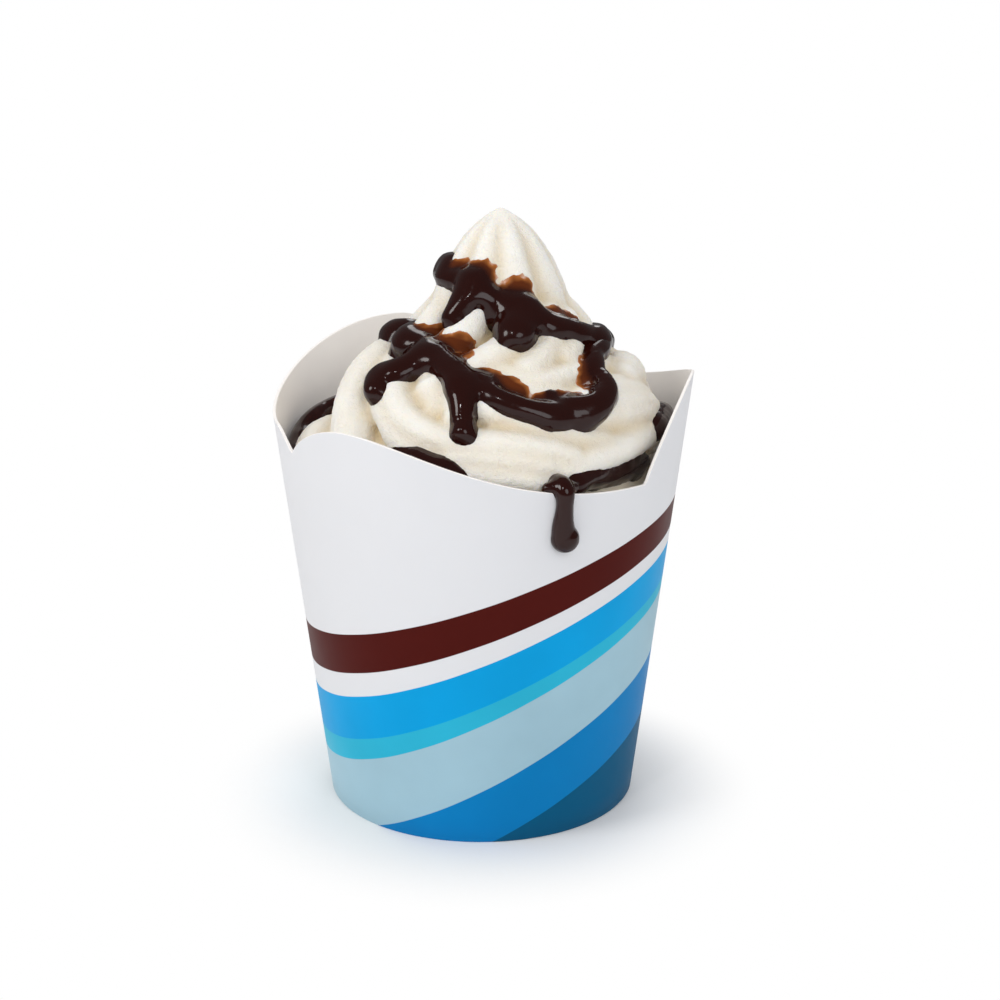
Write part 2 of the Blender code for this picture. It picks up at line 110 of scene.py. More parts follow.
# The folds of the wide lowest turn: half thickness and how far the crest stands proud of the outline, in
# mm, then the crest's angle and height
LOWER_FOLDS = {
    "left_outer": (5.8, 0.8, ((-124, 87), (-104, 87.4), (-86, 86), (-72, 83.6), (-61, 79.6), (-53, 75.6),
                              (-47, 70))),
    "left_inner": (3.0, 0.2, ((-84, 89), (-62, 86.6), (-46, 82.2), (-36, 79), (-28, 76), (-16, 73),
                              (-2, 71.4), (12, 70.4), (26, 68.6))),
    "curl": (3.6, 0.9, ((-12, 80.6), (-14, 83.6), (-20, 86.8), (-32, 88.6), (-43, 87.0), (-43, 84.2),
                        (-36, 81.2), (-27, 78.6), (-17, 76.8), (-5, 76.0), (9, 75.6), (20, 74.6),
                        (27, 73.6))),
    "curl_floor": (5.0, -0.9, ((-31, 85.6), (-26, 83.6), (-20, 81.2))),
    "front_upper": (3.6, 0.2, ((-9, 83.0), (-3, 81.8), (6, 80.9), (15, 79.4), (25, 77.5), (36, 76.1),
                               (45, 74.2))),
    "front_behind": (4.4, -0.8, ((-6, 86), (8, 83.6), (24, 82), (38, 81.6))),
    "front_crest": (3.0, 0.4, ((-12, 88.4), (1, 87.2), (8, 86.0), (16, 85.4), (26, 85.8), (39, 86.5),
                               (54, 87), (70, 87.6))),
    "front_low": (3.0, 0.7, ((-10, 74.2), (6, 73.6), (19, 72.2), (28, 70.6))),
    "right_low": (3.4, 0.8, ((24, 71.2), (36, 72.8), (50, 74.0), (66, 74.8), (84, 74.6))),
    "right_lobe": (7.0, 1.3, ((36, 80.4), (47, 80.2), (59, 79.6), (72, 78.4), (84, 76.4))),
    "right_behind": (5.4, 0.9, ((68, 84.2), (80, 84), (98, 83.4), (124, 82))),
    "back_lobe": (6.0, 0.4, ((96, 80), (126, 80), (158, 79.6), (194, 79), (228, 79.6), (252, 82))),
    "back_upper": (4.8, 0.2, ((112, 87.6), (146, 86.8), (184, 86.2), (220, 86.4), (246, 88))),
    "back_low": (4.8, 0.4, ((84, 72.6), (118, 72.4), (154, 72), (190, 72), (226, 71.6), (262, 70.4),
                            (288, 69.6))),
}

# Sauce on the cream, by the solid that each run stands for: strokes of angle, height, half width and
# thickness, in degrees and mm
SAUCE = {
    "sauce_upper": (
        ((-168, 104, 1.6, 0.9), (-154, 104.2, 2.6, 1.6), (-136, 104.6, 3.1, 2.0), (-108, 105.2, 3.3, 2.2),
         (-86, 105.0, 3.3, 2.2), (-62, 103.6, 2.0, 1.5), (-44, 103.4, 2.6, 1.8), (-31, 103.6, 2.6, 1.8),
         (-20, 102.6, 2.2, 1.6), (-9, 99.8, 2.6, 1.9), (2, 97.6, 3.4, 2.2), (16, 98.0, 3.8, 2.4),
         (29, 95.8, 2.8, 1.9), (42, 94.8, 2.7, 1.9), (58, 93.2, 2.8, 2.0), (76, 92.2, 3.2, 2.3),
         (96, 91.6, 2.7, 1.8), (106, 91.2, 1.6, 1.0)),
        ((-27, 102.6, 3.4, 2.2), (-32, 99.8, 3.8, 2.6), (-37, 96.8, 3.0, 2.7)),
        ((5, 97.2, 4.6, 2.6), (8, 94.8, 4.2, 2.9)),
    ),
    "sauce_lower": (
        ((82, 92.0, 2.2, 1.6), (68, 91.4, 2.2, 1.7), (56, 90.4, 2.3, 1.8), (49, 88.8, 2.3, 1.9),
         (45, 86.8, 2.4, 1.9), (42, 84.8, 2.6, 2.0), (37, 82.8, 2.9, 2.2), (29, 81.2, 3.3, 2.4),
         (20, 81.1, 3.1, 2.2), (10, 82.6, 2.4, 1.9), (-1, 84.6, 2.6, 1.9), (-12, 86.6, 3.1, 2.0),
         (-22, 89.0, 3.0, 1.9), (-38, 90.6, 3.1, 2.0), (-56, 91.6, 3.3, 2.2), (-84, 92.6, 3.6, 2.4),
         (-112, 92.4, 3.0, 2.2), (-130, 92.6, 2.5, 1.7), (-143, 92.4, 1.6, 0.9)),
        ((-36, 89.6, 3.2, 1.8), (-47, 87.6, 3.6, 2.0), (-52, 86.2, 3.0, 2.4), (-46, 84.2, 2.7, 2.6)),
        ((-13, 86.2, 3.2, 2.0), (-10, 82.6, 2.5, 2.1), (-8, 78.8, 2.6, 2.5)),
        ((20, 83.2, 1.3, 0.9), (20, 84.8, 1.0, 0.8)),
    ),
    "sauce_pool_left": (
        ((-136, 76.6, 3.2, 2.6), (-123, 76.2, 3.8, 3.2), (-110, 74.2, 3.6, 3.2), (-98, 71.4, 3.0, 2.8),
         (-88, 69.0, 2.4, 2.2)),
    ),
    "sauce_pool_front": (
        ((-29, 73.4, 2.2, 1.6), (-21, 73.4, 2.8, 2.1), (-13, 72.2, 2.9, 2.4), (-7, 70.6, 2.5, 2.2)),
    ),
    "sauce_pool_right": (
        ((27, 69.2, 2.2, 2.0), (35, 69.6, 2.7, 2.3), (46, 69.8, 2.9, 2.3), (58, 69.4, 2.9, 2.2),
         (70, 69.2, 2.5, 2.0)),
    ),
    "sauce_pool_back": (
        ((70, 75.6, 2.6, 2.0), (82, 76.4, 3.2, 2.4), (98, 76.0, 3.2, 2.4), (116, 74.6, 2.8, 2.2)),
    ),
}
# The thin amber film along the sauce's upper edges: strokes of angle, height and half width
FILM = {
    "sauce_upper": (
        ((-60, 105.8, 1.8), (-48, 105.6, 2.3), (-36, 105.6, 2.2), (-24, 105.6, 2.5), (-17, 105.0, 2.8)),
        ((-14, 103.0, 1.8), (-6, 101.2, 1.6)),
        ((8, 100.8, 2.4), (15, 101.8, 3.4), (23, 100.4, 2.4)),
        ((34, 97.4, 1.8), (46, 97.4, 2.6), (56, 95.8, 1.8)),
    ),
    "sauce_lower": (
        ((-66, 94.2, 2.0), (-48, 93.6, 2.5), (-36, 92.8, 2.2), (-24, 92.0, 2.7), (-18, 91.0, 2.2)),
        ((-6, 87.6, 1.8), (3, 86.5, 2.3), (9, 85.0, 1.8)),
        ((15, 83.8, 1.7), (22, 84.0, 2.0), (29, 83.8, 1.7)),
        ((36, 85.2, 2.0), (40, 87.4, 2.3), (44, 89.2, 1.8)),
    ),
}


# ---------------------------------------------------------------- settings

class SundaeCup(bpy.types.PropertyGroup):
    """Sizes and colours of the paper cup"""
    base_radius: FloatProperty(name="Base radius", description="Outer radius of the wall at the foot",
                               default=31.0 * MM, min=0.02, max=0.05, precision=5, unit="LENGTH")
    flare: FloatProperty(name="Flare",
                         description="Growth of the wall's radius for each metre of height",
                         default=0.123, min=0.0, max=0.3)
    paper: FloatProperty(name="Board", description="Thickness of the board", default=0.6 * MM,
                         min=0.0003, max=0.002, precision=5, unit="LENGTH")
    foot_fold: FloatProperty(name="Foot fold", description="Height of the wall's folded foot",
                             default=5.0 * MM, min=0.002, max=0.01, precision=5, unit="LENGTH")
    base_level: FloatProperty(name="Base level", description="Height of the underside of the base disc",
                              default=5.6 * MM, min=0.002, max=0.02, precision=5, unit="LENGTH")
    board: FloatVectorProperty(name="Board", description="Colour of the bare board",
                               default=(0.715, 0.72, 0.745), size=3, subtype="COLOR", min=0.0, max=1.0)
    # Partly painted light: the board's own white, with a warm tint painted in for the light that the cream
    # throws on the inner face
    inside: FloatVectorProperty(name="Inside", description="Colour of the board's inner face",
                                default=(0.92, 0.885, 0.86), size=3, subtype="COLOR", min=0.0, max=1.0)
    brown: FloatVectorProperty(name="Brown band", description="Printed colour of the uppermost band",
                               default=(0.072, 0.006, 0.004), size=3, subtype="COLOR", min=0.0, max=1.0)
    azure: FloatVectorProperty(name="Azure band", description="Printed colour of the bright blue band",
                               default=(0.002, 0.34, 0.71), size=3, subtype="COLOR", min=0.0, max=1.0)
    turquoise: FloatVectorProperty(name="Turquoise band",
                                   description="Printed colour of the thin greenish band",
                                   default=(0.026, 0.44, 0.64), size=3, subtype="COLOR", min=0.0,
                                   max=1.0)
    pale: FloatVectorProperty(name="Pale band", description="Printed colour of the wide pale band",
                              default=(0.35, 0.535, 0.63), size=3, subtype="COLOR", min=0.0, max=1.0)
    mid: FloatVectorProperty(name="Blue band", description="Printed colour of the deep blue band",
                             default=(0.002, 0.20, 0.50), size=3, subtype="COLOR", min=0.0, max=1.0)
    teal: FloatVectorProperty(name="Dark band",
                              description="Printed colour of the lowest, darkest band",
                              default=(0.002, 0.098, 0.21), size=3, subtype="COLOR", min=0.0, max=1.0)


class SundaeCream(bpy.types.PropertyGroup):
    """Sizes and colours of the ice cream"""
    lean: FloatProperty(name="Lean",
                        description="How far the swirl's axis drifts to the right on its way up",
                        default=4.0 * MM, min=0.0, max=0.01, precision=5, unit="LENGTH")
    fill_level: FloatProperty(name="Fill level", description="Height at which the cream meets the wall",
                              default=66.0 * MM, min=0.03, max=0.08, precision=5, unit="LENGTH")
    voxel: FloatProperty(name="Fineness", description="Grid size of the mesh that the folds melt into",
                         default=0.5 * MM, min=0.0003, max=0.002, precision=5, unit="LENGTH")
    softening: IntProperty(name="Softening", description="Passes that round the folds", default=6, min=0,
                           max=20)
    crest: FloatVectorProperty(name="Crest", description="Colour where the cream stands proud",
                               default=(0.87, 0.85, 0.80), size=3, subtype="COLOR", min=0.0, max=1.0)
    # Painted shade: a darker, warmer colour laid into the folds in place of the shade and warm bounced
    # light there
    hollow: FloatVectorProperty(name="Hollow", description="Colour deep in the folds",
                                default=(0.66, 0.53, 0.33), size=3, subtype="COLOR", min=0.0, max=1.0)


class SundaeSauce(bpy.types.PropertyGroup):
    """Sizes and colours of the chocolate sauce"""
    edge_wander: FloatProperty(name="Edge wander", description="How unevenly the sauce's edge runs",
                               default=0.16, min=0.0, max=0.5, subtype="FACTOR")
    film: FloatProperty(name="Film", description="Thickness of the amber film at its middle",
                        default=0.32 * MM, min=0.0001, max=0.001, precision=5, unit="LENGTH")
    thick: FloatVectorProperty(name="Thick sauce", description="Colour where the sauce is deep",
                               default=(0.018, 0.0029, 0.0019), size=3, subtype="COLOR", min=0.0,
                               max=1.0)
    thin: FloatVectorProperty(name="Thin sauce",
                              description="Colour where the sauce lets light through",
                              default=(0.10, 0.021, 0.004), size=3, subtype="COLOR", min=0.0, max=1.0)
    edge: FloatVectorProperty(name="Film's edge",
                              description="Colour of the cream where sauce barely stains it",
                              default=(0.46, 0.155, 0.036), size=3, subtype="COLOR", min=0.0, max=1.0)


class SundaeStage(bpy.types.PropertyGroup):
    """Floor, lamps and camera"""
    floor: FloatVectorProperty(name="Floor", description="Colour of the floor",
                               default=(0.86, 0.86, 0.86), size=3, subtype="COLOR", min=0.0, max=1.0)
    floor_lift: FloatProperty(name="Floor lift",
                              description="How much brighter the floor shows than it is lit",
                              default=0.02, min=0.0, max=1.0, subtype="FACTOR")
    fade_start: FloatProperty(name="Shadow",
                              description="Distance from the axis at which the floor turns white",
                              default=0.032, min=0.0, max=1.0, precision=5, unit="LENGTH")
    fade_end: FloatProperty(name="White floor", description="Distance at which the floor is all white",
                            default=0.058, min=0.0, max=1.0, precision=5, unit="LENGTH")
    world_level: FloatProperty(name="Surroundings", description="Strength of the light from all round",
                               default=0.72, min=0.0, max=2.0)
    shine_level: FloatProperty(name="Reflected light",
                               description="Strength of the same light in reflections", default=0.14,
                               min=0.0, max=2.0)
    key_power: FloatProperty(name="Key lamp",
                             description="Power of the soft lamp at the upper left in watts",
                             default=1.15, min=0.0, max=20.0)
    glint_power: FloatProperty(name="Glint lamp",
                               description="Power of the small lamp that glints in the sauce",
                               default=0.22, min=0.0, max=5.0)
    fill_power: FloatProperty(name="Fill lamp",
                              description="Power of the wide lamp at the front right in watts",
                              default=1.1, min=0.0, max=20.0)
    rear_power: FloatProperty(name="Rear lamp", description="Power of the lamp behind in watts",
                              default=0.9, min=0.0, max=20.0)
    camera_distance: FloatProperty(name="Camera distance",
                                   description="From the cup's axis to the camera", default=279.0 * MM,
                                   min=0.1, max=2.0, precision=5, unit="LENGTH")
    camera_height: FloatProperty(name="Camera height",
                                 description="Height of the camera over the floor", default=122.8 * MM,
                                 min=0.0, max=1.0, precision=5, unit="LENGTH")
    camera_tilt: FloatProperty(name="Camera tilt", description="How far the camera looks down",
                               default=math.radians(12.85), subtype="ANGLE")
    camera_turn: FloatProperty(name="Camera turn", description="How far the camera looks to the right",
                               default=math.radians(0.78), subtype="ANGLE")
    lens: FloatProperty(name="Lens", description="Focal length in millimetres", default=51.4, min=10.0,
                        max=200.0)


# ---------------------------------------------------------------- shapes

def smooth_step(x):
    """0 below 0, 1 above 1 and an even S-curve between them."""
    x = np.clip(x, 0.0, 1.0)
    return x * x * (3.0 - 2.0 * x)


def wall_radius(cup, height):
    """Outer radius of the cup's wall at a height."""
    return cup.base_radius + cup.flare * height


def around(angle, radius, height, centre_x=0.0):
    """The point at an angle, a radius and a height round the axis, or round an axis moved along +X."""
    turn = math.radians(angle)
    return Vector((centre_x + radius * math.sin(turn), -radius * math.cos(turn), height))


def lean_at(cream, height):
    """How far the swirl's own axis lies from the cup's axis at a height."""
    return cream.lean * float(smooth_step((height - cream.fill_level) / (30.0 * MM)))


def rim_height(angle):
    """Height of the rim at an angle: each flap rises steeply to a rounded crest, then falls slowly."""
    for start, crest, end, start_height, crest_height, end_height, early, drop in FLAPS:
        along = (angle - start) % 360.0
        if along < crest - start:
            share = along / (crest - start)
            return start_height + (crest_height - start_height) * math.sin(share * math.pi / 2.0) ** 0.8
        if along <= end - start:
            share = (along - (crest - start)) / (end - crest)
            fall = float(smooth_step(1.0 - (1.0 - share) ** early))
            last = float(smooth_step((share - 0.88) / 0.24)) * 2.0
            return crest_height + (end_height - crest_height) * fall - drop * last
    return FLAPS[0][3]


def smooth_path(points, per_span=6):
    """Catmull-Rom curve through the points, as a list of rows with the same columns."""
    rows = np.array(points, float)
    rows = np.vstack([2 * rows[0] - rows[1], rows, 2 * rows[-1] - rows[-2]])
    made = []
    for i in range(1, len(rows) - 2):
        for step in range(per_span):
            t = step / per_span
            a, b, c, d = rows[i - 1:i + 3]
            made.append(0.5 * (2 * b + (c - a) * t + (2 * a - 5 * b + 4 * c - d) * t**2
                               + (3 * b - a - 3 * c + d) * t**3))
    made.append(rows[-2])
    return made


def object_of(name, mesh):
    """A new object in the scene with the mesh."""
    made = bpy.data.objects.new(name, mesh)
    bpy.context.scene.collection.objects.link(made)
    return made


def settled(obj, name):
    """A new mesh object with the modifiers of obj applied. obj is removed."""
    bpy.context.view_layer.update()
    graph = bpy.context.evaluated_depsgraph_get()
    mesh = bpy.data.meshes.new_from_object(obj.evaluated_get(graph))
    mesh.name = name
    mesh.transform(obj.matrix_world)
    bpy.data.objects.remove(obj)
    return object_of(name, mesh)


def turned(name, profile, segments, closed=False):
    """A profile of (radius, height), outer side from top to bottom, turned round the Z axis."""
    mesh = bpy.data.meshes.new(name)
    edges = [(i, i + 1) for i in range(len(profile) - 1)]
    if closed:
        edges.append((len(profile) - 1, 0))
    mesh.from_pydata([(r, 0.0, z) for r, z in profile], edges, [])
    obj = object_of(name, mesh)
    screw = obj.modifiers.new("Turn", "SCREW")
    screw.steps = screw.render_steps = segments
    screw.use_merge_vertices = True
    screw.merge_threshold = 0.00001
    screw.use_smooth_shade = True
    return settled(obj, name)


def tube(points):
    """A closed round strand through (place, radius) points, with rounded ends."""
    data = bpy.data.curves.new("strand", "CURVE")
    data.dimensions = "3D"
    data.bevel_depth = 1.0
    data.bevel_resolution = 5
    data.use_fill_caps = True
    line = data.splines.new("POLY")
    line.points.add(len(points) - 1)
    for spot, (place, radius) in zip(line.points, points):
        spot.co = (*place, 1.0)
        spot.radius = radius
    obj = bpy.data.objects.new("strand", data)
    bpy.context.scene.collection.objects.link(obj)
    return [settled(obj, "strand"), bead(*points[0]), bead(*points[-1])]


def bead(place, radius):
    """A sphere that rounds the end of a strand."""
    mesh = bpy.data.meshes.new("bead")
    work = bmesh.new()
    bmesh.ops.create_uvsphere(work, u_segments=24, v_segments=14, radius=radius)
    bmesh.ops.translate(work, verts=work.verts, vec=place)
    work.to_mesh(mesh)
    work.free()
    return object_of("bead", mesh)


def joined(objects, name):
    """One mesh object that holds all the objects' meshes, which still overlap."""
    work = bmesh.new()
    for obj in objects:
        work.from_mesh(obj.data)
        bpy.data.objects.remove(obj)
    mesh = bpy.data.meshes.new(name)
    work.to_mesh(mesh)
    work.free()
    return object_of(name, mesh)


def fused(obj, voxel, softening):
    """The overlapping shapes of obj melted into one skin."""
    remesh = obj.modifiers.new("Fuse", "REMESH")
    remesh.mode = "VOXEL"
    remesh.voxel_size = voxel
    remesh.use_smooth_shade = True
    soften = obj.modifiers.new("Soften", "SMOOTH")
    soften.factor = 0.5
    soften.iterations = softening
    return settled(obj, obj.name)


def coordinates(mesh):
    """A mesh's vertices and normals as arrays."""
    places = np.empty(len(mesh.vertices) * 3)
    mesh.vertices.foreach_get("co", places)
    normals = np.empty(len(mesh.vertices) * 3)
    mesh.vertices.foreach_get("normal", normals)
    return places.reshape(-1, 3), normals.reshape(-1, 3)


def edge_pairs(mesh):
    """The two vertices of each edge, as an array."""
    pairs = np.empty(len(mesh.edges) * 2, np.int64)
    mesh.edges.foreach_get("vertices", pairs)
    return pairs.reshape(-1, 2)


def relaxed(values, pairs, passes, share=None):
    """Values at the vertices, each drawn towards its neighbours' mean. share weights each vertex's move."""
    count = len(values)
    ends = np.concatenate([pairs[:, 0], pairs[:, 1]])
    others = np.concatenate([pairs[:, 1], pairs[:, 0]])
    degree = np.maximum(np.bincount(ends, minlength=count), 1)[:, None]
    values = values.reshape(count, -1).copy()
    move = 0.5 if share is None else 0.5 * share[:, None]
    for _ in range(passes):
        sums = [np.bincount(ends, values[others, i], count) for i in range(values.shape[1])]
        mean = np.stack(sums, 1) / degree
        values += move * (mean - values)
    return values


def store(mesh, name, values):
    """Keeps one number for each vertex, for the materials to read."""
    layer = mesh.attributes.new(name, "FLOAT", "POINT")
    layer.data.foreach_set("value", np.asarray(values, np.float32))


def unevenness(places, size, shift):
    """A noise value from -1 to 1 at each place, with lumps of about the given size."""
    return np.array([noise.noise(Vector(place) / size + Vector(shift)) for place in places])


def held_inside(cup, places, spare):
    """Places drawn in so that none is nearer to the wall's outer face than the board and a spare gap."""
    limit = cup.base_radius + cup.flare * places[:, 2] - cup.paper - spare
    reach = np.hypot(places[:, 0], places[:, 1])
    share = np.minimum(1.0, limit / np.maximum(reach, 1e-9))
    places[:, :2] *= share[:, None]
    return places


# ---------------------------------------------------------------- materials

def linked(tree, source, target):
    """Joins a node's output to another's input."""
    tree.links.new(source, target)


def feed(tree, value, socket):
    """Gives an input another node's output, a number or a colour."""
    if isinstance(value, bpy.types.NodeSocket):
        linked(tree, value, socket)
    elif isinstance(value, (int, float)):
        socket.default_value = value
    else:
        socket.default_value = (*value, 1.0)


def with_values(made, **values):
    """Sets a node's settings and input values: names with a capital are inputs."""
    for key, value in values.items():
        if key[0].isupper():
            made.inputs[key.replace("_", " ")].default_value = value
        else:
            setattr(made, key, value)
    return made


def node(tree, kind, **values):
    """A new shader node with its settings and input values."""
    return with_values(tree.nodes.new(kind), **values)


def ranged(tree, source, **values):
    """A value mapped from one range to another."""
    made = node(tree, "ShaderNodeMapRange", **values)
    linked(tree, source, made.inputs["Value"])
    return made.outputs["Result"]


def calculated(tree, operation, first, second):
    """The result of a sum on two sockets or numbers."""
    made = node(tree, "ShaderNodeMath", operation=operation)
    feed(tree, first, made.inputs[0])
    feed(tree, second, made.inputs[1])
    return made.outputs["Value"]


def mixed(tree, factor, first, second):
    """A mix of two sockets or colours by a socket or a number."""
    mix = node(tree, "ShaderNodeMix", data_type="RGBA")
    feed(tree, factor, mix.inputs["Factor"])
    feed(tree, first, mix.inputs[6])
    feed(tree, second, mix.inputs[7])
    return mix.outputs[2]


def bare_material(name):
    """A material with a Principled shader, its node tree and that shader."""
    made = bpy.data.materials.new(name)
    made.use_nodes = True
    return made, made.node_tree, made.node_tree.nodes["Principled BSDF"]


def grain_group():
    """Shared effect: two sizes of uneven grain, as a height for bump and a slow mottle from 0 to 1."""
    if "Fine grain" in bpy.data.node_groups:
        return bpy.data.node_groups["Fine grain"]
    tree = bpy.data.node_groups.new("Fine grain", "ShaderNodeTree")
    for name, default in (("Coarse Scale", 900.0), ("Fine Scale", 2600.0), ("Fine Share", 0.4),
                          ("Mottle Scale", 60.0)):
        socket = tree.interface.new_socket(name, in_out="INPUT", socket_type="NodeSocketFloat")
        socket.default_value = default
    for name in ("Height", "Mottle"):
        tree.interface.new_socket(name, in_out="OUTPUT", socket_type="NodeSocketFloat")
    entry = tree.nodes.new("NodeGroupInput")
    leave = tree.nodes.new("NodeGroupOutput")
    place = tree.nodes.new("ShaderNodeTexCoord")
    coarse = node(tree, "ShaderNodeTexNoise", Detail=3.0, Roughness=0.6)
    fine = node(tree, "ShaderNodeTexNoise", Detail=2.0, Roughness=0.5)
    mottle = node(tree, "ShaderNodeTexNoise", Detail=3.0, Roughness=0.55)
    for texture, scale in ((coarse, "Coarse Scale"), (fine, "Fine Scale"), (mottle, "Mottle Scale")):
        linked(tree, place.outputs["Object"], texture.inputs["Vector"])
        linked(tree, entry.outputs[scale], texture.inputs["Scale"])
    both = node(tree, "ShaderNodeMix", data_type="FLOAT")
    linked(tree, entry.outputs["Fine Share"], both.inputs["Factor"])
    linked(tree, coarse.outputs["Fac"], both.inputs["A"])
    linked(tree, fine.outputs["Fac"], both.inputs["B"])
    linked(tree, both.outputs["Result"], leave.inputs["Height"])
    linked(tree, ranged(tree, mottle.outputs["Fac"], From_Min=0.35, From_Max=0.65), leave.inputs["Mottle"])
    return tree


def grain(tree, coarse, fine, share, mottle):
    """Places the shared grain in a material with its own values."""
    return node(tree, "ShaderNodeGroup", node_tree=grain_group(), Coarse_Scale=coarse, Fine_Scale=fine,
                Fine_Share=share, Mottle_Scale=mottle)


def roughened(tree, source, shader, low, high):
    """Lets the roughness run from low to high with a value from 0 to 1."""
    linked(tree, ranged(tree, source, To_Min=low, To_Max=high), shader.inputs["Roughness"])


def bumped(tree, height, shader, strength, distance):
    """Lets a height stand proud in the shading."""
    bump = node(tree, "ShaderNodeBump", Strength=strength, Distance=distance)
    linked(tree, height, bump.inputs["Height"])
    linked(tree, bump.outputs["Normal"], shader.inputs["Normal"])


def shaded(colour, share):
    """A colour made darker by a share of itself."""
    return tuple(share * part for part in colour)


def print_mask(tree, turn, height, level, swing):
    """1 under a printed edge and 0 over it. The edge rises and falls once round the cup."""
    curve = tree.nodes.new("ShaderNodeFloatCurve")
    line = curve.mapping.curves[0]
    spots = []
    for angle in range(-180, 181, PRINT_STEP):
        edge = level + swing * math.cos(math.radians(angle - PRINT_PEAK))
        spots.append(((angle + 180.0) / 360.0, (edge - PRINT_FOOT) / PRINT_SPAN))
    for spot, place in zip(line.points, (spots[0], spots[-1])):
        spot.location = place
    for x, y in spots[1:-1]:
        line.points.new(x, y)
    curve.mapping.update()
    linked(tree, turn, curve.inputs["Value"])
    gap = calculated(tree, "SUBTRACT", curve.outputs["Value"], height)
    return ranged(tree, gap, From_Min=-PRINT_BLUR, From_Max=PRINT_BLUR)


def printed_board(cup):
    """White coated board with slanting bands of printed colour."""
    made, tree, shader = bare_material("printed_board")
    place = tree.nodes.new("ShaderNodeTexCoord")
    split = tree.nodes.new("ShaderNodeSeparateXYZ")
    linked(tree, place.outputs["Object"], split.inputs["Vector"])
    back = calculated(tree, "MULTIPLY", split.outputs["Y"], -1.0)
    angle = calculated(tree, "ARCTAN2", split.outputs["X"], back)
    turn = ranged(tree, angle, From_Min=-math.pi, From_Max=math.pi)
    height = ranged(tree, split.outputs["Z"], clamp=False, From_Min=PRINT_FOOT * MM,
                    From_Max=(PRINT_FOOT + PRINT_SPAN) * MM)

    fibres = grain(tree, 700.0, 2400.0, 0.5, 45.0)
    white = mixed(tree, fibres.outputs["Mottle"], tuple(cup.board), shaded(cup.board, 0.985))
    colour = white
    for name, level, swing in PRINT_EDGES:
        mask = print_mask(tree, turn, height, level, swing)
        ink = tuple(getattr(cup, name))
        under = white if name == "board" else mixed(tree, fibres.outputs["Mottle"], ink, shaded(ink, 0.93))
        colour = mixed(tree, mask, colour, under)
    linked(tree, colour, shader.inputs["Base Color"])
    roughened(tree, fibres.outputs["Mottle"], shader, 0.36, 0.46)
    with_values(shader, Subsurface_Weight=0.2, Subsurface_Radius=(1.0, 0.9, 0.85),
                Subsurface_Scale=0.8 * MM, Specular_IOR_Level=0.06)
    bumped(tree, fibres.outputs["Height"], shader, 0.12, 0.05 * MM)
    return made


def plain_board(cup):
    """The board's inner face and cut edge: uncoated white with soft fibres, and painted warm bounce light.
    """
    made, tree, shader = bare_material("plain_board")
    fibres = grain(tree, 900.0, 2800.0, 0.5, 70.0)
    # The inner colour carries a warm tint of painted bounce light from the cream
    colour = mixed(tree, fibres.outputs["Mottle"], tuple(cup.inside), shaded(cup.inside, 0.97))
    linked(tree, colour, shader.inputs["Base Color"])
    roughened(tree, fibres.outputs["Mottle"], shader, 0.5, 0.62)
    bumped(tree, fibres.outputs["Height"], shader, 0.15, 0.06 * MM)
    return made


def vanilla(cream):
    """Soft serve: creamy white on the crests, painted darker and warmer shade in the folds, fine pores."""
    made, tree, shader = bare_material("vanilla_soft_serve")
    pores = grain(tree, 1100.0, 3200.0, 0.35, 90.0)
    # Painted shade: the deeper a place lies in a fold, the more it takes the darker, warmer fold colour
    depth = node(tree, "ShaderNodeAttribute", attribute_name="hollow")
    shade_amount = ranged(tree, depth.outputs["Fac"], From_Min=-0.5, From_Max=0.9)
    colour = mixed(tree, shade_amount, tuple(cream.crest), tuple(cream.hollow))
    # A slow random mottle that draws the colour a little towards the painted shade colour
    patch = ranged(tree, pores.outputs["Mottle"], To_Min=0.0, To_Max=0.12)
    linked(tree, mixed(tree, patch, colour, tuple(cream.hollow)), shader.inputs["Base Color"])
    roughened(tree, pores.outputs["Height"], shader, 0.5, 0.66)
    with_values(shader, Subsurface_Weight=0.35, Subsurface_Radius=(1.0, 0.8, 0.5),
                Subsurface_Scale=1.5 * MM, Specular_IOR_Level=0.35)
    bumped(tree, pores.outputs["Height"], shader, 1.0, 0.45 * MM)
    return made


def chocolate(sauce, cream):
    """Glossy sauce: nearly black where deep, amber where a thin film lets the cream shine through."""
    made, tree, shader = bare_material("chocolate_sauce")
    body = grain(tree, 300.0, 900.0, 0.3, 120.0)
    depth = node(tree, "ShaderNodeAttribute", attribute_name="depth")
    amber = node(tree, "ShaderNodeAttribute", attribute_name="amber")
    stain = ranged(tree, depth.outputs["Fac"], From_Min=0.03, From_Max=0.26)
    fade = ranged(tree, depth.outputs["Fac"], From_Min=-0.04, From_Max=0.1)
    faint = tuple(0.6 * a + 0.4 * b for a, b in zip(cream.crest, sauce.edge))
    edge = mixed(tree, fade, faint, tuple(sauce.edge))
    thin = mixed(tree, stain, edge, tuple(sauce.thin))
    linked(tree, mixed(tree, amber.outputs["Fac"], tuple(sauce.thick), thin), shader.inputs["Base Color"])
    roughened(tree, body.outputs["Mottle"], shader, 0.1, 0.2)
    with_values(shader, Specular_IOR_Level=0.22, Coat_Weight=0.22, Coat_Roughness=0.03)
    bumped(tree, body.outputs["Height"], shader, 0.06, 0.2 * MM)
    return made


# ---------------------------------------------------------------- pieces

def finished(piece, solid, slot, *materials):
    """Gives a piece its materials and its place in the frame."""
    for made in materials:
        if piece.data.materials.find(made.name) < 0:
            piece.data.materials.append(made)
    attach(piece, "root")
    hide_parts(solid)


